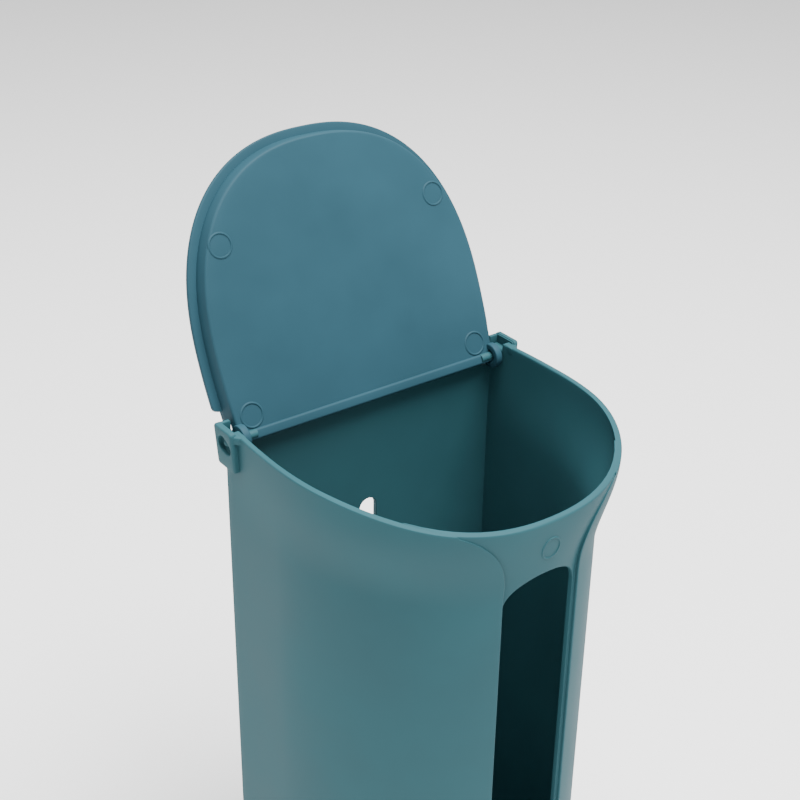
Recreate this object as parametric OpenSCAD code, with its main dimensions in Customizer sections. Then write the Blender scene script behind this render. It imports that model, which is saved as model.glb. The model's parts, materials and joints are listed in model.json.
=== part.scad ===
// Wall-hung dispenser bin with a hinged lid: a D-shaped moulded tub, open at the top,
// with a tall slot in a recessed front panel, a lid that folds back, and two hinge pins.
// Millimetres. +Z is up, the front faces -Y, and the origin lies on the underside of the base.

/* [Body] */
// Height of the tub from its base to the flat part of the rim
body_h = 240; // [180:1:320]
// Width across the flat back
back_w = 110; // [90:1:140]
// Width added on each side by the shoulders of the rim
rim_bulge = 1.8; // [0.5:0.1:4]
// Length of the nearly straight sides, measured from the back
side_len = 30; // [20:1:40]
// Depth of the curved front of the rim, beyond the straight sides
rim_front = 66.9; // [50:0.1:80]
// Depth of the curved front of the walls, below the flare
wall_front = 65.9; // [48:0.1:78]
// Fullness of the curved front at the rim (2 is an ellipse)
rim_power = 2.37; // [2:0.01:2.8]
// Fullness of the curved front below the flare
wall_power = 1.88; // [1.7:0.01:2.4]
// Wall thickness
wall_t = 2; // [1.6:0.1:3]
// Thickness of the base
base_t = 2; // [1.6:0.1:4]

/* [Rim] */
// Distance from the back at which the rim starts to dip
dip_start = 53; // [35:1:60]
// Drop of the rim at the very front
dip_drop = 6.7; // [4:0.1:14]
// Height of the zone in which the walls flare out to the rim
flare_h = 30; // [20:1:45]
// Straight lip left above the flare
lip_h = 3.7; // [2:0.1:6]

/* [Front panel] */
// Half width of the recessed panel
panel_half = 15; // [10:0.5:22]
// Depth of the recess below the walls on each side of it
panel_step = 1.5; // [0.8:0.1:2.5]
// Step that is left where the panel meets the rim
panel_lip_step = 0.3; // [0.2:0.1:0.6]
// Radius of the sweep from the panel's side up to the rim
panel_sweep_r = 25; // [16:1:32]
// Height of the centre of that sweep below the rim
panel_sweep_drop = 28.5; // [26:0.1:40]
// Lip of panel left on each side of the slot
slot_margin = 0.8; // [0.5:0.1:3]
// Top of the slot below the rim
slot_top = 26; // [26:0.1:60]
// Height of the arch at each end of the slot
slot_arch = 11; // [4:0.5:14]
// Bottom of the slot above the base
slot_bottom = 36; // [15:1:80]

/* [Hinge] */
// Distance from the back to the hinge axis
axis_q = 5; // [4.6:0.1:8]
// Depth of the hinge axis below the rim
axis_drop = 4.8; // [4.6:0.1:8]
// Radius of the hinge pins
pin_r = 1.5; // [1.2:0.1:1.8]
// Radial clearance of the pins in the tub's ears
pin_clear = 0.06; // [0.02:0.01:0.1]
// Length of pin that is pressed into the lid's barrel
pin_grip = 6; // [3:0.5:12]
// Distance by which an ear stands out from the wall at its top
ear_out_top = 3.9; // [3.5:0.1:6]
// Distance by which an ear stands out from the wall at its foot
ear_out_foot = 2.7; // [2.5:0.1:5]
// Width of an ear along the wall
ear_w = 10.5; // [9:0.5:14]
// Height of an ear above the rim
ear_rise = 1; // [0.5:0.1:1.5]
// Depth of an ear below the rim
ear_drop = 14; // [10:0.5:18]
// Radius of the countersunk pocket in an ear
pocket_r = 2.9; // [2.2:0.1:3.4]
// Depth of that pocket from the ear's outer face at the axis
pocket_t = 2.3; // [1:0.1:3]
// Radius of the lid's round hinge ears
lid_ear_r = 4.4; // [3.5:0.1:4.6]
// Radius of the lid's hinge barrel
barrel_r = 2; // [1.9:0.1:2.4]
// Clearance round the lid's ears where the back wall is notched for them
notch_gap = 0.5; // [0.3:0.1:0.8]

/* [Lid] */
// Angle by which the open lid leans back past upright
lean = 23.5; // [10:0.5:30]
// Gap between the closed lid's flange and the rim
seat_gap = 0.3; // [0.2:0.1:0.6]
// Thickness of the lid's walls
lid_t = 2; // [1.6:0.1:2.4]
// Clearance between the plug's side and the inside of the rim
plug_gap = 0.9; // [0.7:0.1:2]
// Depth of the plug below the flange
plug_h = 5; // [3:0.1:5]
// Distance from the hinge axis to the flange's rear corners
flange_start = 9.3; // [7:0.1:14]
// Distance from the hinge axis to the plug's rear wall
plug_start = 5; // [4.8:0.1:7]

/* [Hanging hole] */
// Top of the hanging hole below the rim
hang_drop = 47.6; // [25:0.1:80]
// Half width of its neck
hang_neck_r = 3.5; // [2.5:0.1:4.5]
// Radius of its wide lower part
hang_head_r = 6.5; // [5.5:0.1:9]
// Distance between the centres of neck and wide part
hang_len = 13; // [10:0.5:20]

/* [Hidden] */
teal = [0.29, 0.45, 0.50];
$fn = 64;
CURVE_STEPS = 20;
FLARE_STEPS = 9;
// How far a cut reaches past the face that it opens
OVER = 1;
// How far a cut reaches past a face that it runs along
EPS = 0.01;
CUT_H = 30;
ARCH_STEPS = 24;
half_w = back_w / 2;
total_depth = side_len + rim_front;
// the origin lies half way between the back and the front of the walls
back_y = (side_len + wall_front) / 2;
axis_y = back_y - axis_q;
axis_z = body_h - axis_drop;
flare_top = body_h - lip_h;
flare_foot = flare_top - flare_h;
dip_len = total_depth - dip_start;
dip_r = (dip_len * dip_len + dip_drop * dip_drop) / (2 * dip_drop);
slot_half = panel_half - slot_margin;
plug_inset = wall_t + plug_gap;
plate_top = axis_drop - plug_h + seat_gap + lid_t;
// the open lid's plate comes to rest on the inner top edge of the back wall
stop_run = (wall_t - axis_q + plate_top * cos(lean)) / -sin(lean);
stop_drop = axis_drop + plate_top * sin(lean) - stop_run * cos(lean);
// the rear wall of the plug passes over the outer top edge of the back wall
pass_rise = (axis_q - plug_start * sin(lean)) / cos(lean);
pass_drop = axis_drop - plug_start * cos(lean) + pass_rise * sin(lean) + seat_gap;
back_top_drop = max(stop_drop, pass_drop);

// Share of the flare at height z, from 0 at its foot to 1 at the lip
function flare(z) =
    z <= flare_foot ? 0 : z >= flare_top ? 1 : (1 - cos(180 * (z - flare_foot) / flare_h)) / 2;

// Point of the curved front at angle t, pushed inwards by d along its normal
function front_point(half, depth, power, t, d) =
    let (
        x = half * pow(cos(t), 2 / power),
        q = depth * pow(sin(t), 2 / power),
        nx = pow(x / half, power - 1) / half,
        nq = pow(q / depth, power - 1) / depth,
        n = norm([nx, nq])
    ) [x - d * nx / n, side_len + q - d * nq / n];

// Right half of the plan at flare share f, pushed inwards by d, from the back to the front
function half_plan(f, d, rear) = concat(
    [[half_w - d, rear]],
    [for (i = [0 : CURVE_STEPS]) let (
        t = 90 * i / CURVE_STEPS,
        low = front_point(half_w, wall_front, wall_power, t, d),
        top = front_point(half_w + rim_bulge, rim_front, rim_power, t, d)
    ) low + f * (top - low)]
);

// Whole plan as [x, y] points, counter-clockwise seen from above
function plan(f, d, rear) =
    let (h = half_plan(f, d, rear), n = len(h)) concat(
        [for (i = [0 : n - 1]) [-h[i][0], back_y - h[i][1]]],
        [for (i = [n - 2 : -1 : 0]) [h[i][0], back_y - h[i][1]]]
    );

// Heights of the rings of the tub's walls, from z0 up to just above the rim
function wall_heights(z0) = concat(
    [z0],
    [for (i = [0 : FLARE_STEPS]) flare_foot + flare_h * i / FLARE_STEPS],
    [body_h + 2 * OVER]
);

// Inward offset of the panel's outer face at height z
function panel_offset(z) = panel_step - (panel_step - panel_lip_step) * flare(z);

// Solid bounded by the walls' surface at inward offset d, or by the panel's at d behind its face
module wall_solid(z0, d, rear, on_panel = false) {
    zs = wall_heights(z0);
    rings = [for (z = zs) plan(flare(z), d + (on_panel ? panel_offset(z) : 0), rear)];
    n = len(rings[0]);
    m = len(zs);
    points = [for (k = [0 : m - 1]) for (p = rings[k]) [p[0], p[1], zs[k]]];
    sides = [for (k = [0 : m - 2]) for (i = [0 : n - 1])
        let (j = (i + 1) % n, a = k * n + i, b = k * n + j, c = b + n, e = a + n)
        for (tri = [[a, c, b], [a, e, c]]) tri];
    foot = [[for (i = [0 : n - 1]) i]];
    top = [[for (i = [n - 1 : -1 : 0]) (m - 1) * n + i]];
    polyhedron(points = points, faces = concat(foot, sides, top));
}

// Front-view outline of the recessed panel, widened by w on each side
module panel_outline(w) {
    cx = panel_half + panel_sweep_r;
    cz = body_h - panel_sweep_drop;
    difference() {
        translate([-cx, -OVER])
            square([2 * cx, body_h + 3 * OVER]);
        for (s = [-1, 1]) {
            translate([s * cx, cz])
                circle(r = panel_sweep_r - w);
            translate([s * cx - (panel_sweep_r - w), -2 * OVER])
                square([2 * (panel_sweep_r - w), cz + 2 * OVER]);
        }
    }
}

// Front half of a slab whose front-view outline is its child
module through_front() {
    rotate([90, 0, 0])
        linear_extrude(height = total_depth)
            children();
}

// Everything above the rim: level at the sides, dipping along an arc to the front
module above_rim() {
    wide = 2 * back_w;
    deep = 2 * total_depth;
    translate([-wide / 2, -deep / 2, body_h])
        cube([wide, deep, CUT_H]);
    difference() {
        translate([-wide / 2, back_y - dip_start - deep, body_h - 2 * dip_drop])
            cube([wide, deep, 2 * dip_drop + OVER]);
        translate([-wide, back_y - dip_start, body_h - dip_r])
            rotate([0, 90, 0])
                cylinder(r = dip_r, h = 2 * wide, $fn = 256);
    }
}

// Slot outline with an elliptical arch at each end
module slot_outline() {
    z_top = body_h - slot_top - slot_arch;
    z_foot = slot_bottom + slot_arch;
    arch = [for (i = [0 : ARCH_STEPS]) 180 * i / ARCH_STEPS];
    polygon(concat(
        [for (t = arch) [slot_half * cos(t), z_top + slot_arch * sin(t)]],
        [for (t = arch) [-slot_half * cos(t), z_foot - slot_arch * sin(t)]]
    ));
}

// Cylinder along X, centred on the hinge axis, from x0 to x1
module on_axis(r, x0, x1) {
    translate([x0, axis_y, axis_z])
        rotate([0, 90, 0])
            cylinder(r = r, h = x1 - x0);
}

// Hinge ear on the right wall: a block whose outer face leans out towards the top
module wall_ear() {
    translate([0, back_y, 0])
        rotate([90, 0, 0])
            linear_extrude(height = ear_w)
                polygon([
                    [half_w - wall_t, body_h - ear_drop],
                    [half_w + ear_out_foot, body_h - ear_drop],
                    [half_w + ear_out_top, body_h + ear_rise],
                    [half_w - wall_t, body_h + ear_rise]
                ]);
}

// Round-topped hanging hole: a narrow neck over a wide entry
module hanging_hole() {
    z_neck = body_h - hang_drop - hang_neck_r;
    z_head = z_neck - hang_len;
    for (hole = [[z_neck, hang_neck_r], [z_head, hang_head_r]])
        translate([0, back_y + OVER, hole[0]])
            rotate([90, 0, 0])
                cylinder(r = hole[1], h = wall_t + 2 * OVER);
    translate([-hang_neck_r, back_y - wall_t - OVER, z_head])
        cube([2 * hang_neck_r, wall_t + 2 * OVER, z_neck - z_head]);
}

// The tub: walls, base, recessed front panel, hinge ears and their bores
module bin_body() {
    ear_lean = (ear_out_top - ear_out_foot) / (ear_drop + ear_rise);
    ear_face = half_w + ear_out_top - ear_lean * (axis_drop + ear_rise);
    notch_in = half_w - plug_inset - lid_t - notch_gap;
    notch_foot = axis_z - lid_ear_r - notch_gap;
    color(teal)
    difference() {
        union() {
            difference() {
                wall_solid(0, 0, 0);
                wall_solid(base_t, wall_t, wall_t);
                through_front()
                    panel_outline(0);
            }
            difference() {
                intersection() {
                    wall_solid(0, 0, 0, true);
                    through_front()
                        panel_outline(wall_t);
                }
                wall_solid(base_t, wall_t, wall_t, true);
            }
            for (s = [0, 1])
                mirror([s, 0, 0])
                    difference() {
                        wall_ear();
                        on_axis(pocket_r, ear_face - pocket_t, half_w + 2 * ear_out_top);
                    }
        }
        above_rim_but_ears();
        through_front()
            slot_outline();
        hanging_hole();
        translate([-(half_w - wall_t), back_y - wall_t - EPS, body_h - back_top_drop])
            cube([back_w - 2 * wall_t, wall_t + OVER, CUT_H]);
        for (s = [0, 1])
            mirror([s, 0, 0]) {
                translate([notch_in, back_y - wall_t - EPS, notch_foot])
                    cube([half_w - wall_t - notch_in, wall_t + OVER, CUT_H]);
                on_axis(pin_r + pin_clear, half_w - wall_t - OVER, half_w + 2 * ear_out_top);
            }
    }
}

// The cut above the rim, with the two ears left standing
module above_rim_but_ears() {
    difference() {
        above_rim();
        for (s = [0, 1])
            mirror([s, 0, 0])
                translate([half_w - wall_t, back_y - ear_w, body_h - OVER])
                    cube([wall_t + 2 * ear_out_top, ear_w, ear_rise + OVER]);
    }
}

// Lid outline pushed inwards by d, cut off at distance q0 from the back
module lid_outline(d, q0) {
    intersection() {
        polygon(plan(1, d, 0));
        translate([-back_w, back_y - q0 - 2 * total_depth])
            square([2 * back_w, 2 * total_depth]);
    }
}

// The lid as it lies when closed
module lid_closed() {
    z_plate = axis_z + plate_top - lid_t;
    z_flange = body_h + seat_gap;
    ear_in = half_w - plug_inset - lid_t;
    ear_out = half_w - plug_inset;
    difference() {
        union() {
            // flange
            translate([0, 0, z_flange])
                linear_extrude(height = lid_t)
                    lid_outline(0, axis_q + flange_start);
            // plug block, hollowed below
            translate([0, 0, z_plate])
                linear_extrude(height = z_flange + lid_t - z_plate)
                    lid_outline(plug_inset, axis_q + plug_start);
            // strip of plate between the plug and the barrel
            translate([0, 0, z_plate])
                linear_extrude(height = lid_t)
                    lid_outline(plug_inset, axis_q);
            // barrel
            on_axis(barrel_r, -ear_out, ear_out);
            // round ears and the webs that join them to the plug
            for (s = [0, 1])
                mirror([s, 0, 0]) {
                    on_axis(lid_ear_r, ear_in, ear_out);
                    translate([ear_in, axis_y - plug_start - lid_t, axis_z])
                        cube([lid_t, plug_start + lid_t, lid_ear_r]);
                }
        }
        // outer side of the tray
        translate([0, 0, z_plate + lid_t])
            linear_extrude(height = CUT_H)
                lid_outline(plug_inset + lid_t, axis_q + plug_start + lid_t);
        for (s = [0, 1])
            mirror([s, 0, 0])
                on_axis(pin_r, ear_out - pin_grip, ear_out + OVER);
    }
}

// The lid, folded back past upright
module lid() {
    color(teal)
    translate([0, axis_y, axis_z])
        rotate([-90 - lean, 0, 0])
            translate([0, -axis_y, -axis_z])
                lid_closed();
}

// Right hinge pin: a short shaft with a domed outer end
module hinge_pin() {
    x0 = half_w - plug_inset - pin_grip;
    x1 = half_w + ear_out_foot - pin_r;
    color(teal)
    union() {
        on_axis(pin_r, x0, x1);
        translate([x1, axis_y, axis_z])
            sphere(r = pin_r);
    }
}

module hinge_pin_right() {
    hinge_pin();
}

module hinge_pin_left() {
    mirror([1, 0, 0])
        hinge_pin();
}

bin_body();
lid();
hinge_pin_left();
hinge_pin_right();
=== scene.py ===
import json
import math

import bmesh
import bpy
import numpy as np
from mathutils import Matrix, Vector


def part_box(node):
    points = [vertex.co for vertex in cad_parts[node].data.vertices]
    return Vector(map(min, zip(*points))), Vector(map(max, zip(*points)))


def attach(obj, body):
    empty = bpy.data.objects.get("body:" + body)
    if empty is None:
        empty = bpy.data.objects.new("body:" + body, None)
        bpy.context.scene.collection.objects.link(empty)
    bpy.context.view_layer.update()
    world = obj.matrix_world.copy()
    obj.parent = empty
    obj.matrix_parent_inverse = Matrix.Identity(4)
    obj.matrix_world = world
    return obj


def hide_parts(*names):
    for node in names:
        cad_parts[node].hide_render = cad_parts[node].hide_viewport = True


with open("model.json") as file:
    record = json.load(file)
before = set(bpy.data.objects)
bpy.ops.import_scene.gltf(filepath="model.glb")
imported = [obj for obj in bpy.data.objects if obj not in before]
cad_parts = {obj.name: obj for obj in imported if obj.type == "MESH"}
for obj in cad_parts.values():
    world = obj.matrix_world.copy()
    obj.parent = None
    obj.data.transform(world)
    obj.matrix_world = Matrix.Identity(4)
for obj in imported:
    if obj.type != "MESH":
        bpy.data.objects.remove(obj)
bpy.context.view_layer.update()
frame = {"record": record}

# ---------------------------------------------------------------- sizes, millimetres
# x runs across, q forwards from the back plane, z up from the underside of the base.
MM = 0.001
HINGE = np.array(frame["record"]["behaviour"]["joints"][0]["pos_m"]) / MM
CLOSING = frame["record"]["behaviour"]["joints"][0]["range_deg"][1]
TUB_HIGH = np.array(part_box("bin_body")[1]) / MM

EAR_RISE = 1.0
BACK_Y = TUB_HIGH[1]
RIM_Z = TUB_HIGH[2] - EAR_RISE
HALF_W = 55.0
RIM_BULGE = 1.8
SIDE = 30.0
RIM_FRONT = 66.9
WALL_FRONT = 65.9
RIM_POWER = 2.37
WALL_POWER = 1.88
WALL_T = 2.0
BASE_T = 2.0
DEPTH = SIDE + RIM_FRONT

DIP_START = 53.0
DIP_DROP = 6.7
FLARE_TOP = RIM_Z - 3.7
FLARE_H = 30.0
RIM_ROUND = 0.65
FOOT_ROUND = 0.8

PANEL_HALF = 15.0
PANEL_STEP = 1.5
PANEL_LIP_STEP = 0.3
SWEEP_R = 25.0
SWEEP_Z = RIM_Z - 28.5
STEP_EDGE_R = 0.5
STEP_FOOT_R = 0.4

SLOT_HALF = 14.2
SLOT_ARCH = 11.0
SLOT_TOP = RIM_Z - 26
SLOT_FOOT = 36.0
SLOT_EDGE_R = 0.45

AXIS_Q = BACK_Y - HINGE[1]
AXIS_Z = HINGE[2]
LEAN = math.radians(CLOSING - 90)
BACK_TOP = RIM_Z - 3.2
NOTCH_IN = 49.6
NOTCH_FOOT = AXIS_Z - 4.9

SHELF_DROP = 2.6
SHELF_Q = 8.2
SHELF_RAMP = 0.6
SIDE_COLUMN_Q = 4.8
REAR_ROUND = 1.0
INNER_REAR_Q = 0.3
INNER_REAR_STEP = 0.4

HANG_NECK_Z = RIM_Z - 51.1
HANG_NECK_R = 3.5
HANG_HEAD_Z = HANG_NECK_Z - 13
HANG_HEAD_R = 6.5

# ---------------------------------------------------------------- how finely surfaces are drawn
WELD = 2e-6  # metres; points nearer than this become one
SHARP = math.radians(35)  # edges that turn by more than this stay sharp
ROUND_STEPS = 4
CORNER_STEPS = 5


# ---------------------------------------------------------------- small tools
def linear(hex_colour):
    """sRGB hex colour as a linear RGBA tuple."""
    parts = [int(hex_colour[i:i + 2], 16) / 255 for i in (1, 3, 5)]
    rgb = [c / 12.92 if c <= 0.04045 else ((c + 0.055) / 1.055) ** 2.4 for c in parts]
    return (*rgb, 1.0)


def arc(n=ROUND_STEPS):
    """n + 1 angles from 0 to 90 degrees, in radians."""
    return np.linspace(0, math.pi / 2, n + 1)


def place(x, q, z):
    """Points in metres from x across, q forwards of the back plane and z up."""
    x, q, z = np.broadcast_arrays(x, q, z)
    return np.stack([x, BACK_Y - q, z], -1) * MM


def swing(x, v, n):
    """Points in metres from the lid's x, v along it from the hinge axis and n towards its outer side."""
    x, v, n = np.broadcast_arrays(x, v, n)
    y = HINGE[1] + v * math.sin(LEAN) + n * math.cos(LEAN)
    z = HINGE[2] + v * math.cos(LEAN) - n * math.sin(LEAN)
    return np.stack([x, y, z], -1) * MM


def mirrored(points):
    """The same points on the other side of x = 0."""
    return points * np.array([-1.0, 1.0, 1.0])


def smooth_piece(name, mesh):
    """Object of a mesh that is shaded smooth apart from its sharp edges."""
    mesh.shade_smooth()
    mesh.set_sharp_from_angle(angle=SHARP)
    piece = bpy.data.objects.new(name, mesh)
    bpy.context.scene.collection.objects.link(piece)
    return piece


class Shell:
    """Grids of points that are welded into one closed surface."""

    def __init__(self):
        self.points, self.faces, self.count = [], [], 0

    def add(self, points):
        """Store points and return the index of the first."""
        points = np.asarray(points, float).reshape(-1, 3)
        start = self.count
        self.points.append(points)
        self.count += len(points)
        return start

    def grid(self, points, loop=False):
        """Quads between the neighbours of a grid of points, closed across its columns if loop."""
        rows, cols = points.shape[:2]
        index = self.add(points) + np.arange(rows * cols).reshape(rows, cols)
        if loop:
            index = np.concatenate([index, index[:, :1]], 1)
        quads = np.stack([index[:-1, :-1], index[:-1, 1:], index[1:, 1:], index[1:, :-1]], -1)
        self.faces += quads.reshape(-1, 4).tolist()

    def both(self, points):
        """A grid and its mirror image."""
        self.grid(points)
        self.grid(mirrored(points))

    def cap(self, points):
        """One face through a ring of points."""
        start = self.add(points)
        self.faces.append(list(range(start, start + len(points))))

    def build(self, name):
        """The welded mesh as a piece, with its faces turned outwards."""
        mesh = bpy.data.meshes.new(name)
        mesh.from_pydata(np.concatenate(self.points), [], self.faces)
        work = bmesh.new()
        work.from_mesh(mesh)
        bmesh.ops.remove_doubles(work, verts=work.verts, dist=WELD)
        bmesh.ops.dissolve_degenerate(work, edges=work.edges, dist=WELD / 4)
        bmesh.ops.recalc_face_normals(work, faces=work.faces)
        work.to_mesh(mesh)
        work.free()
        return smooth_piece(name, mesh)


def slab(name, outlines, depth, bevel, to_world):
    """Flat plate from closed outlines, the later ones holes, with rounded edges; to_world places it."""
    curve = bpy.data.curves.new(name, "CURVE")
    curve.dimensions = "2D"
    curve.fill_mode = "BOTH"
    curve.extrude = (depth / 2 - bevel) * MM
    curve.bevel_depth = bevel * MM
    curve.bevel_resolution = 2
    curve.offset = -bevel * MM
    for outline in outlines:
        spline = curve.splines.new("POLY")
        spline.points.add(len(outline) - 1)
        level, weight = np.zeros((len(outline), 1)), np.ones((len(outline), 1))
        flat = np.concatenate([outline * MM, level, weight], 1)
        spline.points.foreach_set("co", flat.ravel())
        spline.use_cyclic_u = True
    holder = bpy.data.objects.new(name, curve)
    mesh = bpy.data.meshes.new_from_object(holder)
    bpy.data.objects.remove(holder)
    mesh.transform(to_world)
    mesh.name = name
    return smooth_piece(name, mesh)


def rounded_box(half_u, half_v, radius, n):
    """Outline of a rectangle with round corners about its centre, counter-clockwise.

    Each corner is a quarter circle in n steps, centred one radius inside both sides.
    """
    corners = []
    for s, w, start in ((1, 1, 0), (-1, 1, 90), (-1, -1, 180), (1, -1, 270)):
        t = np.radians(np.linspace(start, start + 90, n + 1))
        u = s * (half_u - radius) + radius * np.cos(t)
        v = w * (half_v - radius) + radius * np.sin(t)
        corners.append(np.stack([u, v], 1))
    return np.concatenate(corners)


# ---------------------------------------------------------------- the tub's surfaces
def flare(z):
    """Share of the flare, from 0 at its foot to 1 below the lip, as a raised cosine."""
    share = np.clip((z - FLARE_TOP + FLARE_H) / FLARE_H, 0, 1)
    return (1 - np.cos(math.pi * share)) / 2


def superellipse(t, half, depth, power, d):
    """Point at angle t of |x/half|^power + |q/depth|^power = 1, pushed inwards by d along its normal."""
    c, s = np.cos(t).clip(1e-12), np.sin(t).clip(1e-12)
    x, q = half * c ** (2 / power), depth * s ** (2 / power)
    nx, nq = (x / half) ** (power - 1) / half, (q / depth) ** (power - 1) / depth
    n = np.hypot(nx, nq)
    return x - d * nx / n, SIDE + q - d * nq / n


def front(t, z, d):
    """Curved front of the tub at angle t and height z: two superellipses blended by the flare."""
    f = flare(z)
    low_x, low_q = superellipse(t, HALF_W, WALL_FRONT, WALL_POWER, d)
    top_x, top_q = superellipse(t, HALF_W + RIM_BULGE, RIM_FRONT, RIM_POWER, d)
    return low_x + f * (top_x - low_x), low_q + f * (top_q - low_q)


def angle_at(x, z, d):
    """Angle t at which the front has the given x, by halving the interval."""
    x, z, d = np.broadcast_arrays(x, z, d)
    low, high = np.zeros(x.shape), np.full(x.shape, math.pi / 2)
    for _ in range(36):
        mid = (low + high) / 2
        beyond = front(mid, z, d)[0] > x
        low, high = np.where(beyond, mid, low), np.where(beyond, high, mid)
    return (low + high) / 2


def depth_at(x, z, d):
    """Distance q of the front at the given x, height z and inward offset d."""
    return front(angle_at(x, z, d), z, d)[1]


def dip(q):
    """Drop of the rim at distance q from the back.

    It is radius - sqrt(radius^2 - (q - DIP_START)^2), an arc that starts level, and inside the ears
    a step down over a short ramp.
    """
    run = DEPTH - DIP_START
    radius = (run ** 2 + DIP_DROP ** 2) / (2 * DIP_DROP)
    shelf = SHELF_DROP * np.clip((SHELF_Q - q) / SHELF_RAMP, 0, 1)
    return shelf + radius - np.sqrt(radius ** 2 - np.clip(q - DIP_START, 0, run) ** 2)


def panel_edge(z):
    """Half width of the recessed panel: straight, then swept out to the rim along an arc."""
    rise = np.clip(z - SWEEP_Z, 0, SWEEP_R * 0.9999)
    return PANEL_HALF + SWEEP_R - np.sqrt(SWEEP_R ** 2 - rise ** 2)


def panel_offset(z):
    """Depth of the panel's face below the walls beside it."""
    return PANEL_STEP - (PANEL_STEP - PANEL_LIP_STEP) * flare(z)


# Rows of the skins below, beside and above the slot; LINE columns cross half of the panel, and ROUND
# holds the shares of the front's angle at the wall's columns.
SLOT_MARGIN = 4
SLOT_LOW_Z = SLOT_FOOT - SLOT_MARGIN
SLOT_HIGH_Z = SLOT_TOP + SLOT_MARGIN
SPRING_HIGH = SLOT_TOP - SLOT_ARCH
SPRING_LOW = SLOT_FOOT + SLOT_ARCH
BELOW = np.linspace(0, SLOT_LOW_Z, 8)[:-1]
BESIDE = np.concatenate([
    np.linspace(SLOT_LOW_Z, SPRING_LOW, 11)[:-1],
    np.linspace(SPRING_LOW, SPRING_HIGH, 30)[:-1],
    np.linspace(SPRING_HIGH, SLOT_HIGH_Z, 13)])
ABOVE = np.linspace(SLOT_HIGH_Z, RIM_Z - RIM_ROUND, 26)[1:]
LINE = 12
ROUND = np.linspace(0, 1, 57)


def levels(foot):
    """Heights of the rows of a skin whose lowest row lies at foot."""
    rows = np.concatenate([BELOW, BESIDE, ABOVE])
    rows[0] = foot
    return rows


def droop(rows):
    """Share of the rim's dip that each row takes up, from 0 above the slot to 1 at the rim."""
    s = np.clip((rows - SLOT_HIGH_Z) / (RIM_Z - RIM_ROUND - SLOT_HIGH_Z), 0, 1)
    return s * s * (3 - 2 * s)


def drooped(rows, locate, rounds=12):
    """Heights and (x, q) of a skin whose rows dip towards the rim; locate gives (x, q) at heights z."""
    share = droop(rows)[:, None]
    z = rows[:, None] + 0 * locate(rows[:, None])[0]
    for _ in range(rounds):
        x, q = locate(z)
        z = rows[:, None] - dip(q) * share
    return x, q, z


def skin(foot, d, rear):
    """Half a skin of the tub: wall, step and panel columns at inward offset d, rows from foot to rim.

    The wall runs from the rear along the side, x = 55 + bulge * (1 - (1 - q/30)^2), and round the
    front to the panel's edge; the step rounds over and down to the panel, which runs to x = 0.
    """
    rows = levels(foot)
    edge_share = np.concatenate([
        STEP_EDGE_R * (1 - np.sin(arc())),
        -STEP_FOOT_R * (1 - np.cos(arc()))])
    fall = np.concatenate([
        STEP_EDGE_R * (1 - np.cos(arc())),
        PANEL_STEP - STEP_FOOT_R + STEP_FOOT_R * np.sin(arc())]) / PANEL_STEP

    def edge(z):
        return panel_edge(z) + d

    def step(z):
        z = z * np.ones(len(edge_share))
        scale = panel_offset(z) / PANEL_STEP
        x = edge(z) + edge_share * scale
        return x, depth_at(x, z, d + fall * panel_offset(z))

    step_x, step_q, step_z = drooped(rows, step)
    end_t = angle_at(step_x[:, :1], step_z[:, :1], d)

    corner_x, corner_q = np.array(rear[:-1]).T
    side_q = np.concatenate([
        [rear[-1][1], SIDE_COLUMN_Q, SHELF_Q - SHELF_RAMP, SHELF_Q],
        np.linspace(SHELF_Q, SIDE, 10)[1:-1]])
    ones = np.ones((len(rows), 1))

    def wall(z):
        z = z * np.ones(len(corner_x) + len(side_q) + len(ROUND))
        swell = flare(z[:, len(corner_x):-len(ROUND)]) * RIM_BULGE
        side_x = HALF_W - d + swell * (1 - (1 - side_q / SIDE) ** 2)
        front_x, front_q = front(end_t * ROUND, z[:, -len(ROUND):], d)
        x = np.concatenate([ones * corner_x, side_x, front_x], 1)
        return x, np.concatenate([ones * corner_q, ones * side_q, front_q], 1)

    # the last column is the step's first
    wall_points = [p[:, :-1] for p in drooped(rows, wall)]

    inward = np.linspace(1, 0, LINE + 1)

    def panel(z):
        z = z * np.ones(LINE + 1)
        px = step_x[:, -1:] * inward
        return px, depth_at(px, z, d + panel_offset(z))

    px, pq, pz = drooped(rows, panel)
    pz[:, :1], pq[:, :1] = step_z[:, -1:], step_q[:, -1:]
    return rows, wall_points, (step_x, step_q, step_z), (px, pq, pz)


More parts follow.
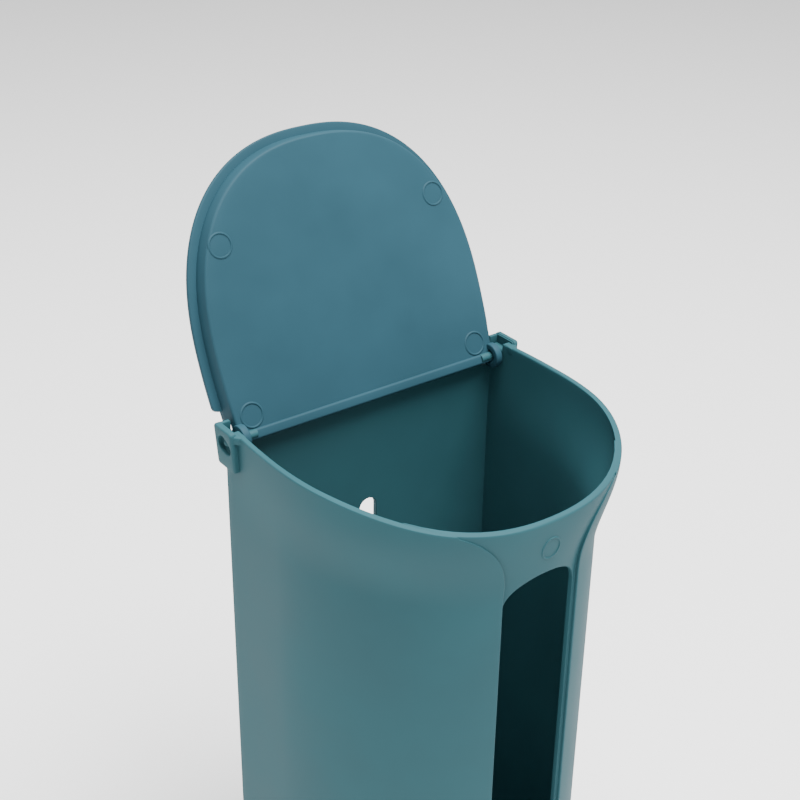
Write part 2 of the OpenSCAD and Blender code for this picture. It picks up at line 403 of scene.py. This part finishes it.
def slot_ring(rows, step, d, rounding):
    """Grid between the panel's edges and the slot's rounded outline.

    The outer side follows the step, and two level lines above and below the slot; the inner one is
    the slot: half ellipses x = 14.2 cos(a), z = 11 sin(a) above and below straight sides.
    """
    first, last = len(BELOW), len(BELOW) + len(BESIDE)
    side_x, side_z = step[0][first:last, -1][::-1], step[2][first:last, -1][::-1]
    across = np.linspace(0, 1, LINE + 1)[:-1]
    out_x = np.concatenate([side_x[0] * across, side_x, (side_x[-1] * across)[::-1]])
    out_z = np.concatenate([side_z[0] + 0 * across, side_z, side_z[-1] + 0 * across])
    corner = math.radians(38)
    high = side_z >= SPRING_HIGH
    low = side_z <= SPRING_LOW
    turn = np.where(high, corner * (side_z - SPRING_HIGH) / (SLOT_HIGH_Z - SPRING_HIGH), 0)
    turn = np.where(low, -corner * (SPRING_LOW - side_z) / (SPRING_LOW - SLOT_LOW_Z), turn)
    top_turn = math.pi / 2 + (corner - math.pi / 2) * across
    turn = np.concatenate([top_turn, turn, -top_turn[::-1]])
    mid_z = np.clip(np.concatenate([0 * across + SPRING_HIGH, side_z, 0 * across + SPRING_LOW]),
                    SPRING_LOW, SPRING_HIGH)
    hole_x, hole_z = SLOT_HALF * np.cos(turn), mid_z + SLOT_ARCH * np.sin(turn)
    nx, nz = np.cos(turn) / SLOT_HALF, np.sin(turn) / SLOT_ARCH
    size = np.hypot(nx, nz)
    nx, nz = nx / size, nz / size
    near_x, near_z = hole_x + SLOT_EDGE_R * nx, hole_z + SLOT_EDGE_R * nz
    g = np.linspace(0, 1, 7)
    x = out_x[:, None] + (near_x - out_x)[:, None] * g
    z = out_z[:, None] + (near_z - out_z)[:, None] * g
    flat = (x, z, np.zeros(x.shape))
    a = SLOT_EDGE_R * (1 - np.sin(arc()))[1:]
    h = SLOT_EDGE_R * (1 - np.cos(arc()))[1:]
    edge_x, edge_z = hole_x[:, None] + nx[:, None] * a, hole_z[:, None] + nz[:, None] * a
    rounded = (edge_x, edge_z, rounding * h + 0 * edge_x)
    x, z, push = (np.concatenate(pair, 1) for pair in zip(flat, rounded))
    x[0], x[-1] = 0, 0
    return x, depth_at(x, z, d + panel_offset(z) + push), z


def tub_walls():
    """Outer and inner skins joined round the rim, the foot, the slot and the rear ends."""
    shell = Shell()
    turn = arc()
    outer_rear = [(HALF_W - REAR_ROUND + REAR_ROUND * math.sin(a), REAR_ROUND * (1 - math.cos(a)))
                  for a in turn]
    inner_rear = [(HALF_W - WALL_T, INNER_REAR_Q + INNER_REAR_STEP * i) for i in range(len(turn))]
    edges = []
    sides = ((FOOT_ROUND, 0.0, outer_rear, 1), (BASE_T / 2, WALL_T, inner_rear, -1))
    for foot, d, rear, rounding in sides:
        rows, wall, step, panel = skin(foot, d, rear)
        whole = [np.concatenate([w, s], 1) for w, s in zip(wall, step)]
        shell.both(place(*whole))
        first, last = len(BELOW), len(BELOW) + len(BESIDE)
        shell.both(place(*(p[:first + 1] for p in panel)))
        shell.both(place(*(p[last - 1:] for p in panel)))
        ring = place(*slot_ring(rows, step, d, rounding))
        shell.both(ring)
        every = [np.concatenate([w, p[:, 1:]], 1) for w, p in zip(whole, panel)]
        edges.append((place(*every), ring[:, -1]))
    (outer, outer_slot), (inner, inner_slot) = edges
    shell.both(np.stack([outer_slot, inner_slot], 1))

    # rim: rounded over both edges
    a, b = outer[-1], inner[-1]
    width = np.linalg.norm(b - a, axis=1)[:, None] / MM
    across = np.concatenate([RIM_ROUND * (1 - np.cos(turn)), -RIM_ROUND * (1 - np.cos(turn[::-1]))])
    rise = np.concatenate([np.sin(turn), np.sin(turn[::-1])]) * RIM_ROUND
    far = np.arange(len(across)) >= len(turn)
    share = (across + np.where(far, width, 0)) / width
    rim = a[:, None] + (b - a)[:, None] * share[..., None]
    rim[..., 2] += rise * MM
    shell.both(rim)

    # foot: rounded outside, then run into the base
    a, b = outer[0], inner[0]
    inwards = (b - a) * np.array([1, 1, 0])
    inwards /= np.linalg.norm(inwards, axis=1)[:, None]
    sole = a[:, None] + inwards[:, None] * (FOOT_ROUND * MM * (1 - np.cos(turn)))[None, :, None]
    sole[..., 2] = FOOT_ROUND * MM * (1 - np.sin(turn))
    sole = np.concatenate([sole, b[:, None]], 1)
    shell.both(sole)

    # rear end, inside the back wall
    end = np.concatenate([outer[:, 0], rim[0, 1:-1], inner[::-1, 0], sole[0, -2:0:-1]])
    shell.cap(end)
    shell.cap(mirrored(end))
    return shell.build("tub_walls"), sole[:, -2] / MM


walls, sole = tub_walls()
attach(walls, "bin")
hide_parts("bin_body")


# ---------------------------------------------------------------- the tub's back, base and ears
PLATE_ROUND = 0.3
BACK_IN = 0.7
BACK_FOOT = 0.4
BASE_IN = 0.5
BASE_CLEAR = 1.0
BASE_REAR = 0.1


def circle(u, v, radius, start, end, n=48):
    """Arc of a circle about (u, v) from start to end, in degrees, in n steps."""
    t = np.radians(np.linspace(start, end, n + 1))
    return np.stack([u + radius * np.cos(t), v + radius * np.sin(t)], 1)


def tub_back():
    """Flat back wall, its top lowered for the lid and notched for the lid's ears.

    The hanging hole is a half circle, the neck, that runs down into the larger circle of the head.
    """
    side, foot = HALF_W - BACK_IN, BACK_FOOT
    half = np.array([(0, foot), (side, foot), (side, BACK_TOP), (HALF_W - WALL_T, BACK_TOP),
                     (HALF_W - WALL_T, NOTCH_FOOT), (NOTCH_IN, NOTCH_FOOT), (NOTCH_IN, BACK_TOP)])
    outline = np.concatenate([half, half[:0:-1] * [-1, 1]])
    spread = math.degrees(math.asin(HANG_NECK_R / HANG_HEAD_R))
    hole = np.concatenate([
        circle(0, HANG_NECK_Z, HANG_NECK_R, 0, 180),
        circle(0, HANG_HEAD_Z, HANG_HEAD_R, 90 + spread, 450 - spread)])
    middle_y = (BACK_Y - WALL_T / 2) * MM
    upright = Matrix(((1, 0, 0, 0), (0, 0, -1, middle_y), (0, 1, 0, 0), (0, 0, 0, 1)))
    return slab("tub_back", [outline, hole[::-1]], WALL_T, PLATE_ROUND, upright)


def tub_base():
    """Flat base: the inner line of the walls' foot, drawn in a little towards the middle."""
    half = sole[::-1, :2]
    half = half[half[:, 1] < BACK_Y - BASE_CLEAR]
    half = half * (1 - BASE_IN / np.linalg.norm(half, axis=1)[:, None])
    outline = np.concatenate([[(0.0, half[0][1])], half, [(half[-1][0], BACK_Y - BASE_REAR)]])
    outline = np.concatenate([outline, outline[:0:-1] * [-1, 1]])
    flat = Matrix.Translation((0, 0, BASE_T / 2 * MM))
    return slab("tub_base", [outline], BASE_T, PLATE_ROUND, flat)


EAR_W = 10.5
EAR_DROP = 14.0
EAR_OUT_TOP = 3.9
EAR_OUT_FOOT = 2.7
EAR_R = 0.8
POCKET_R = 2.9
POCKET_T = 1.9
PLATE_X = 56.5
BORE_R = 1.56
EAR_CORNER = 1.3
EAR_ROOT = 0.7
STEP_R = 0.4
MOUTH_R = 0.3
CHAMFER = 0.2
POCKET_LOBE = 1.7
POCKET_TURN = math.radians(20)
SHELF_COVER = 0.05

# Plans in x and q. The wedge ends just under the rim, so that no two faces lie in one plane.
WEDGE_PLAN = ((54.0, 7.5), (58.3, 7.5), (58.3, 9.9), (56.1, 12.4), (54.0, 12.4))
WEDGE_TOP = RIM_Z - 0.06
WEDGE_H = 2.8
WEB_PLAN = ((53.3, 0.15), (57.3, 0.15), (57.3, 1.5), (53.3, 1.5))
WEB_TOP = RIM_Z + 0.6
WEB_H = 4.2
BLOCK_ROUND = 0.5


def resample(outline, angles, centre):
    """Point of a closed outline in each direction from the centre, by linear interpolation over angle."""
    rel = outline - centre
    turn = np.unwrap(np.arctan2(rel[:, 1], rel[:, 0]))
    reach = np.interp(angles, turn, np.hypot(rel[:, 0], rel[:, 1]), period=2 * math.pi)
    return centre + reach[:, None] * np.stack([np.cos(angles), np.sin(angles)], 1)


def tub_ears():
    """Hinge ears: rings about the pin's centre, from the wall to the leaning face, pocket and bore.

    Inboard of the outer plate the rings are cut off at the shelf's height. The pocket reaches further
    forwards than round the pin, by 1.7 cos^3 of the angle from a line 20 degrees below the level.
    """
    angles = np.linspace(0, 2 * math.pi, 193)[:-1]
    pin = np.array([AXIS_Q, AXIS_Z])
    middle = np.array([EAR_W / 2, RIM_Z + (EAR_RISE - EAR_DROP) / 2])
    half = np.array([EAR_W / 2, (EAR_RISE + EAR_DROP) / 2])
    shelf = RIM_Z - SHELF_DROP + SHELF_COVER

    def outline(inset):
        box = rounded_box(half[0] - inset, half[1] - inset, EAR_CORNER - inset, 12)
        box = np.concatenate([box, box[:1]])
        run = np.concatenate([[0], np.cumsum(np.linalg.norm(np.diff(box, axis=0), axis=1))])
        fine = np.linspace(0, run[-1], 1200)[:-1]
        even = np.stack([np.interp(fine, run, box[:, i]) for i in (0, 1)], 1)
        return resample(even + middle, angles, pin)

    def face(z):
        share = (z - RIM_Z + EAR_DROP) / (EAR_DROP + EAR_RISE)
        return HALF_W + EAR_OUT_FOOT + (EAR_OUT_TOP - EAR_OUT_FOOT) * share

    def ring(radius):
        return pin + radius * np.stack([np.cos(angles), np.sin(angles)], 1)

    def pocket(radius):
        forward = POCKET_LOBE * np.cos(angles + POCKET_TURN).clip(0) ** 3
        return pin + (radius + forward)[:, None] * np.stack([np.cos(angles), np.sin(angles)], 1)

    whole = outline(0)
    low = np.stack([whole[:, 0], np.minimum(whole[:, 1], shelf)], 1)
    above = whole[:, 1:] > shelf
    turn = arc()
    # each ring has its outline, and its distance out of the leaning face or else its own x
    rings = [(low, None, HALF_W - EAR_ROOT), (low, None, PLATE_X)]
    for a in turn:
        edge = np.where(above, outline(STEP_R * math.cos(a)), whole)
        rings.append((edge, None, PLATE_X + STEP_R * math.sin(a)))
    for a in turn:
        rings.append((outline(EAR_R * (1 - math.cos(a))), -EAR_R * (1 - math.sin(a)), None))
    for a in turn:
        mouth = pocket(POCKET_R + MOUTH_R * (1 - math.sin(a)))
        rings.append((mouth, -MOUTH_R * (1 - math.cos(a)), None))
    floor = face(AXIS_Z) - POCKET_T
    rings += [(pocket(POCKET_R), None, floor + MOUTH_R), (pocket(POCKET_R - MOUTH_R), None, floor),
              (ring(BORE_R + CHAMFER), None, floor), (ring(BORE_R), None, floor - CHAMFER),
              (ring(BORE_R), None, HALF_W)]
    shell = Shell()
    points = np.stack([place(face(r[:, 1]) + out if at is None else at, r[:, 0], r[:, 1])
                       for r, out, at in rings])
    for side in (points, mirrored(points)):
        shell.grid(side, loop=True)
        shell.cap(side[0])
        shell.cap(side[-1])
    return shell.build("tub_ears")


def tub_ear_ends():
    """Wedges that lead the wall's top out to each ear's plate, and webs behind the ears.

    Each is a flat plate of its plan with rounded edges.
    """
    blocks = (("front", WEDGE_PLAN, WEDGE_TOP, WEDGE_H), ("rear", WEB_PLAN, WEB_TOP, WEB_H))
    pieces = []
    for name, corners, top, height in blocks:
        plan = np.array([(x, BACK_Y - q) for x, q in corners])
        level = Matrix.Translation((0, 0, (top - height / 2) * MM))
        for side, sign in (("left", -1), ("right", 1)):
            outline = (plan * [sign, 1])[::-sign]
            pieces.append(slab(f"tub_ear_{name}_{side}", [outline], height, BLOCK_ROUND, level))
    return pieces


for piece in (tub_back(), tub_base(), tub_ears(), *tub_ear_ends()):
    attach(piece, "bin")


# ---------------------------------------------------------------- the lid
LID_T = 2.0
SEAT_GAP = 0.3
PLUG_H = 5.0
FACE_N = RIM_Z - PLUG_H + SEAT_GAP - AXIS_Z
FLOOR_N = FACE_N + LID_T
FLANGE_N = FACE_N + PLUG_H
TOP_N = FLANGE_N + LID_T
PLUG_INSET = 2.9
PLUG_DRAFT = 0.7
FLANGE_START = 9.3
FLANGE_CORNER = 2.2
PLUG_START = 5.0
LID_FOOT = 1.2
LID_EAR_R = 4.4
LID_EAR_OUT = HALF_W - PLUG_INSET
FACE_R = 0.9
ROOT_SPREAD = 0.05
ROOT_H = 0.35
FLANGE_EDGE_R = 0.5
TOP_EDGE_R = 0.9
TRAY_LIP_R = 0.4
TRAY_FOOT_R = 0.5

BARREL_HALF = (1.75, 1.45)
BARREL_R = 0.8
BARREL_MIDDLE = (-0.25, 0.65)

LID_EAR_PROUD = 0.6
LID_EAR_IN_R = 0.5
LID_EAR_OUT_R = 0.4
DISH = ((0.0, 0.7), (1.7, 0.7), (2.0, 0.5), (2.6, 0.0))  # radius and depth


def lid_path():
    """Right half of the lid's plan: distance v, x, and the plan's outward normal at each station.

    The side is x = 55 + bulge * (1 - (1 - q/30)^2), and the rest is the rim's superellipse.
    """
    rear_wall = PLUG_START + LID_T
    jumps = [LID_FOOT, PLUG_START, PLUG_START, rear_wall, rear_wall + TRAY_LIP_R, FLANGE_START]
    corner = FLANGE_START + FLANGE_CORNER * (1 - np.cos(arc(CORNER_STEPS)))
    side_v = np.concatenate([jumps, corner, np.linspace(corner[-1], SIDE - AXIS_Q, 10)[1:-1]])
    swell = RIM_BULGE * (1 - (1 - (side_v + AXIS_Q) / SIDE) ** 2)
    t = np.linspace(0, math.pi / 2, 72)
    half = HALF_W + RIM_BULGE
    x, q = superellipse(t, half, RIM_FRONT, RIM_POWER, 0.0)
    x1, q1 = superellipse(t, half, RIM_FRONT, RIM_POWER, 1.0)
    v = np.concatenate([side_v, q - AXIS_Q])
    x = np.concatenate([HALF_W + swell, x])
    nx = np.concatenate([1 + 0 * side_v, x[len(side_v):] - x1])
    nv = np.concatenate([0 * side_v, q - q1])
    return v, x, nx, nv


def lid_section():
    """Section from the inner face round the plug and the flange to the floor of the outer tray.

    Each point has an inset from the flange's edge and a height n; the last value says where it lies:
    0 plug, 1 flange, 2 tray.
    """
    turn = arc()
    up, down = np.sin(turn), np.cos(turn)
    foot, tray = PLUG_INSET + PLUG_DRAFT, PLUG_INSET + LID_T
    parts = [
        (foot + FACE_R * (1 - up), FACE_N + FACE_R * (1 - down), 0),
        (PLUG_INSET + ROOT_SPREAD * down, FLANGE_N - ROOT_H * down, 0),
        (FLANGE_EDGE_R * (1 - up), FLANGE_N + FLANGE_EDGE_R * (1 - down), 1),
        (TOP_EDGE_R * (1 - down), TOP_N - TOP_EDGE_R * (1 - up), 1),
        (tray - TRAY_LIP_R * (1 - up), TOP_N - TRAY_LIP_R * (1 - down), 2),
        (tray + TRAY_LIP_R + TRAY_FOOT_R * (1 - down), FLOOR_N + TRAY_FOOT_R * (1 - up), 2),
    ]
    inset = np.concatenate([p[0] for p in parts])
    height = np.concatenate([p[1] for p in parts])
    zone = np.concatenate([np.full(len(turn), p[2]) for p in parts])
    return inset, height, zone


def lid_shell():
    """The lid as one closed shell: its section carried round the plan, its face and floor filled in."""
    v, x, nx, nv = lid_path()
    inset, height, zone = lid_section()
    first_full, second_full, first_flange = 2, 4, 6
    station = np.arange(len(v))[:, None]
    edge = np.full(len(v), PLUG_INSET)
    full = first_flange + CORNER_STEPS + 1
    edge[first_flange:full] = FLANGE_CORNER * (1 - np.sin(arc(CORNER_STEPS)))
    edge[full:] = 0
    d = np.where(zone < 2, np.maximum(inset, edge[:, None]), inset)
    n = height + 0 * d
    n = np.where(station < first_full, np.minimum(n, FLOOR_N), n)
    wall_over = (station >= first_full) & (station < second_full) & (zone == 2)
    n = np.where(wall_over, TOP_N, n)
    px, pv = x[:, None] - d * nx[:, None], v[:, None] - d * nv[:, None]
    px[-1] = 0
    shell = Shell()
    shell.both(swing(px, pv, n))
    across = np.linspace(1, -1, 25)
    for k in (0, -1):
        shell.grid(swing(px[:, k:k + 1 or None] * across, pv[:, k:k + 1 or None] + 0 * across,
                         n[:, k:k + 1 or None] + 0 * across))
    start = swing(px[0], pv[0], n[0])
    shell.cap(np.concatenate([start, mirrored(start)[::-1]]))
    return shell.build("lid_shell")


def lid_barrel():
    """Hinge barrel along the lid's rear edge: a flattened round section between the ears."""
    section = rounded_box(*BARREL_HALF, BARREL_R, 6) + BARREL_MIDDLE
    x = np.array([-(LID_EAR_OUT - 1), LID_EAR_OUT - 1])[:, None]
    points = swing(x + 0 * section[:, 0], section[:, 0] + 0 * x, section[:, 1] + 0 * x)
    shell = Shell()
    shell.grid(points, loop=True)
    shell.cap(points[0])
    shell.cap(points[-1])
    return shell.build("lid_barrel")


def lid_ears():
    """Round ears at the ends of the barrel, with soft edges and a shallow dish on the inner side."""
    turn = arc()
    out, thick = LID_EAR_OUT + LID_EAR_PROUD, LID_T + LID_EAR_PROUD
    inner = out - thick
    dish_r, dish_depth = np.array(DISH).T
    radius = np.concatenate([dish_r, LID_EAR_R - LID_EAR_IN_R * (1 - np.sin(turn)),
                             LID_EAR_R - LID_EAR_OUT_R * (1 - np.cos(turn)), [0.0]])
    x = np.concatenate([inner + dish_depth, inner + LID_EAR_IN_R * (1 - np.cos(turn)),
                        out - LID_EAR_OUT_R * (1 - np.sin(turn)), [out]])
    angles = np.linspace(0, 2 * math.pi, 49)
    points = swing(x[:, None], radius[:, None] * np.cos(angles), radius[:, None] * np.sin(angles))
    shell = Shell()
    shell.both(points)
    return shell.build("lid_ears")


lid_pieces = [lid_shell(), lid_barrel(), lid_ears()]
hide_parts("lid")
for piece in lid_pieces:
    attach(piece, "lid")


# ---------------------------------------------------------------- moulding marks
MARK_PROFILE = np.array([(0, -0.12), (3.3, -0.12), (3.48, -0.06), (3.6, 0.10), (3.75, 0.26),
                         (3.95, 0.30), (4.15, 0.24), (4.4, -0.05)])
MARKS = ((-42.4, 60.4), (41.8, 60.2), (-46.0, 5.9), (45.2, 5.9))
PANEL_MARK_Z = RIM_Z - 16.8
PANEL_MARK_WIDE = 0.85
PANEL_MARK_HIGH = 0.95


def mark_rings():
    """Radius, angle and height of an ejector mark: a disc with a thin raised ring round it."""
    return MARK_PROFILE[:, :1], np.linspace(0, 2 * math.pi, 65), MARK_PROFILE[:, 1:]


def lid_marks():
    """The marks on the lid's inner face: x + r cos(a), v + r sin(a) about each mark's middle."""
    shell = Shell()
    r, a, h = mark_rings()
    for x, v in MARKS:
        shell.grid(swing(x + r * np.cos(a), v + r * np.sin(a), FACE_N - h))
    return shell.build("lid_marks")


def panel_mark():
    """The mark on the panel: the same rings, a little smaller, laid on the panel's curved face."""
    shell = Shell()
    r, a, h = mark_rings()
    x = PANEL_MARK_WIDE * r * np.cos(a)
    z = PANEL_MARK_Z + PANEL_MARK_HIGH * r * np.sin(a)
    shell.grid(place(x, depth_at(np.abs(x), z, panel_offset(z)) + h, z))
    return shell.build("panel_mark")


marks = lid_marks()
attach(marks, "lid")
mark = panel_mark()
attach(mark, "bin")


# ---------------------------------------------------------------- materials
GRAIN = 0.5
GRAIN_DEPTH = 0.05
DRIFT = 38.0
DRIFT_RANGE = (0.3, 0.7)
ROUGHNESS = (0.58, 0.66)
PLASTIC_IOR = 1.49
SPECULAR = 0.13


def add(tree, kind, inputs=None, **settings):
    """Node of a kind with its settings; inputs maps a socket to a value or to another node's socket."""
    node = tree.nodes.new("ShaderNode" + kind)
    for key, value in settings.items():
        setattr(node, key, value)
    for key, value in (inputs or {}).items():
        if isinstance(value, bpy.types.NodeSocket):
            tree.links.new(value, node.inputs[key])
        else:
            node.inputs[key].default_value = value
    return node


def moulded_polypropylene(part, dark, light):
    """Injection-moulded polypropylene, coloured through: satin, with a fine spark-eroded grain.

    The grain is 0.25 mm in the tool; it is drawn at 0.5 mm so that it shows. The colour and the gloss
    drift a little over some 38 mm, as the melt flowed. The grain breaks up what a polished face would
    mirror, so the specular level lies well under the usual 0.5.
    """
    material = bpy.data.materials.new("moulded_polypropylene_" + part)
    material.use_nodes = True
    tree = material.node_tree
    tree.nodes.clear()
    here = add(tree, "TexCoord").outputs["Object"]
    grain = add(tree, "TexNoise", {
        "Vector": here, "Scale": 1 / (GRAIN * MM), "Detail": 2.0, "Roughness": 0.6})
    cloud = add(tree, "TexNoise", {
        "Vector": here, "Scale": 1 / (DRIFT * MM), "Detail": 3.0, "Roughness": 0.55})
    colour = add(tree, "ValToRGB", {"Fac": cloud.outputs["Fac"]})
    for stop, position, tone in zip(colour.color_ramp.elements, DRIFT_RANGE, (dark, light)):
        stop.position = position
        stop.color = linear(tone)
    gloss = add(tree, "MapRange", {
        "Value": cloud.outputs["Fac"], "From Min": DRIFT_RANGE[0], "From Max": DRIFT_RANGE[1],
        "To Min": ROUGHNESS[0], "To Max": ROUGHNESS[1]})
    bump = add(tree, "Bump", {
        "Height": grain.outputs["Fac"], "Strength": 0.14, "Distance": GRAIN_DEPTH * MM})
    shader = add(tree, "BsdfPrincipled", {
        "Base Color": colour.outputs["Color"], "Roughness": gloss.outputs["Result"],
        "Normal": bump.outputs["Normal"], "IOR": PLASTIC_IOR, "Specular IOR Level": SPECULAR})
    add(tree, "OutputMaterial", {"Surface": shader.outputs["BSDF"]})
    return material


tub_plastic = moulded_polypropylene("tub", "#264B52", "#295057")
# The lid gets a darker copy of the same plastic. This is painted shade, set against the top light that
# falls more strongly on the lid's inner face.
lid_plastic_painted_darker = moulded_polypropylene("lid", "#203F4A", "#244551")
for piece in [o for o in bpy.data.objects if o.type == "MESH"]:
    piece.data.materials.clear()
    piece.data.materials.append(lid_plastic_painted_darker if piece.name.startswith("lid") else tub_plastic)


# ---------------------------------------------------------------- floor, light and camera
CAM_AZIMUTH = -36.81
CAM_ELEVATION = 28.295
CAM_ROLL = 0.872
CAM_DISTANCE = 510.97
CAM_LENS = 66.37
CAM_LOOK = np.array([14.79, BACK_Y, RIM_Z - 13.81])


def studio_floor():
    """White paper under the object, wide enough to fill the view."""
    mesh = bpy.data.meshes.new("floor")
    mesh.from_pydata([(-3, -3, 0), (3, -3, 0), (3, 3, 0), (-3, 3, 0)], [], [(0, 1, 2, 3)])
    material = bpy.data.materials.new("white_paper")
    material.use_nodes = True
    shader = material.node_tree.nodes["Principled BSDF"]
    shader.inputs["Base Color"].default_value = linear("#FCFCFC")
    shader.inputs["Roughness"].default_value = 0.9
    mesh.materials.append(material)
    floor = bpy.data.objects.new("floor", mesh)
    bpy.context.scene.collection.objects.link(floor)


def soft_box(name, position, target, size, power):
    """Square area light of a size in metres and a power in watts, turned to its target."""
    light = bpy.data.lights.new(name, "AREA")
    light.shape = "SQUARE"
    light.size = size
    light.energy = power
    lamp = bpy.data.objects.new(name, light)
    lamp.location = position
    lamp.rotation_euler = (Vector(target) - Vector(position)).to_track_quat("-Z", "Y").to_euler()
    bpy.context.scene.collection.objects.link(lamp)


def studio_light():
    """Even white surroundings, a large light above and a weak one from behind on the left."""
    world = bpy.data.worlds.new("studio")
    world.use_nodes = True
    world.node_tree.nodes["Background"].inputs["Color"].default_value = (1, 1, 1, 1)
    world.node_tree.nodes["Background"].inputs["Strength"].default_value = 0.7
    bpy.context.scene.world = world
    soft_box("top", (0.12, -0.27, 1.42), (0.02, 0, 0), 0.8, 58)
    soft_box("rear_left", (-0.55, 0.7, 1.2), (0, 0, 0.25), 0.4, 9)


def camera():
    """Camera on a sphere about the point it looks at, then rolled about its own axis."""
    azimuth, elevation, roll = (math.radians(a) for a in (CAM_AZIMUTH, CAM_ELEVATION, CAM_ROLL))
    back = Vector((math.sin(azimuth) * math.cos(elevation), -math.cos(azimuth) * math.cos(elevation),
                   math.sin(elevation)))
    right = Vector((0, 0, 1)).cross(back).normalized()
    up = back.cross(right)
    right, up = right * math.cos(roll) + up * math.sin(roll), up * math.cos(roll) - right * math.sin(roll)
    lens = bpy.data.cameras.new("camera")
    lens.lens = CAM_LENS
    lens.sensor_width = 36
    lens.clip_start = 0.01
    holder = bpy.data.objects.new("camera", lens)
    turn = Matrix((right, up, back)).transposed().to_4x4()
    holder.matrix_world = Matrix.Translation(Vector(CAM_LOOK * MM) + back * CAM_DISTANCE * MM) @ turn
    bpy.context.scene.collection.objects.link(holder)
    bpy.context.scene.camera = holder


studio_floor()
studio_light()
camera()
